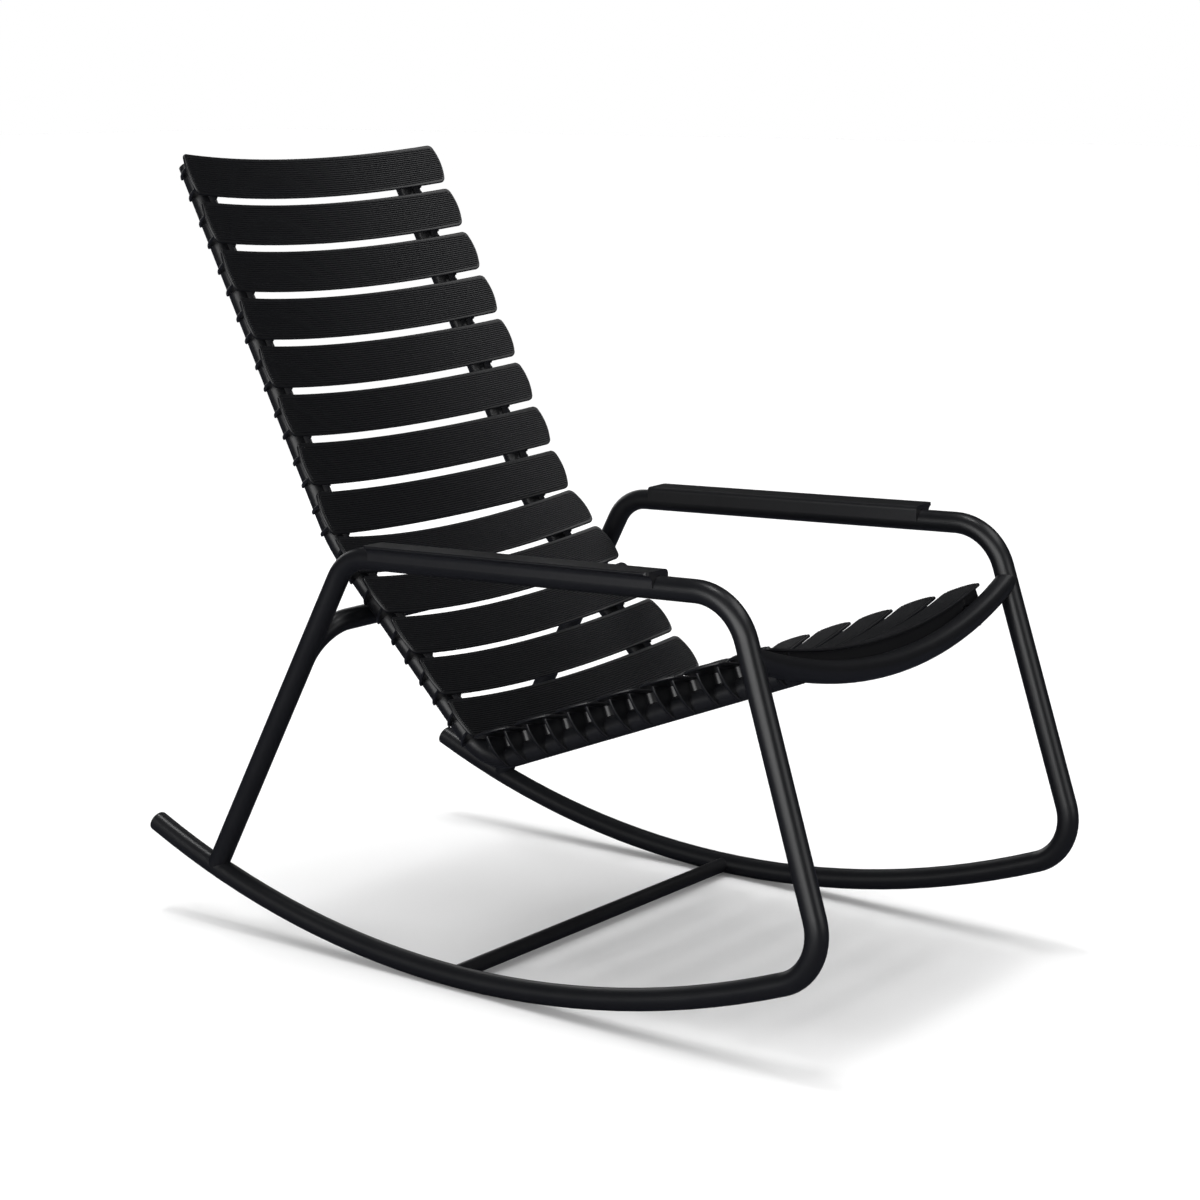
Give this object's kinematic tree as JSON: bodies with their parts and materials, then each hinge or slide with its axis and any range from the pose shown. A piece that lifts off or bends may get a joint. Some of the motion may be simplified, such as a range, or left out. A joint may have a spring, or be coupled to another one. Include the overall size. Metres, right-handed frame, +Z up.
{
  "type": "rocking chair",
  "caption": "Slatted rocking chair: bent tube side frames on curved runners, moulded slats clipped on bent rails for seat and back, channel pads on the arms.",
  "frame": {"origin": "on the floor, at the middle of the chair's footprint", "axes": "+Z up, the chair faces -Y, +X is the sitter's left"},
  "size_m": [0.5682, 0.978, 0.9098],
  "materials": {
    "tube": "satin powder coat",
    "slat": "matt with fine lengthwise grooves",
    "pad": "matt",
    "plug": "matt"
  },
  "bodies": {
    "root": {"side_frame_left": "tube", "side_frame_right": "tube", "front_cross_tube": "tube", "rear_cross_tube": "tube", "rocker_bar": "tube", "rail_left": "tube", "rail_right": "tube", "back_slat_01": "slat", "back_slat_02": "slat", "back_slat_03": "slat", "back_slat_04": "slat", "back_slat_05": "slat", "back_slat_06": "slat", "back_slat_07": "slat", "back_slat_08": "slat", "back_slat_09": "slat", "back_slat_10": "slat", "back_slat_11": "slat", "back_slat_12": "slat", "back_slat_13": "slat", "seat_slat_1": "slat", "seat_slat_2": "slat", "seat_slat_3": "slat", "seat_slat_4": "slat", "seat_slat_5": "slat", "seat_slat_6": "slat", "seat_slat_7": "slat", "arm_pad_left": "pad", "arm_pad_right": "pad", "runner_plug_left": "plug", "runner_plug_right": "plug", "rail_plug_left": "plug", "rail_plug_right": "plug"}
  },
  "joints": []
}
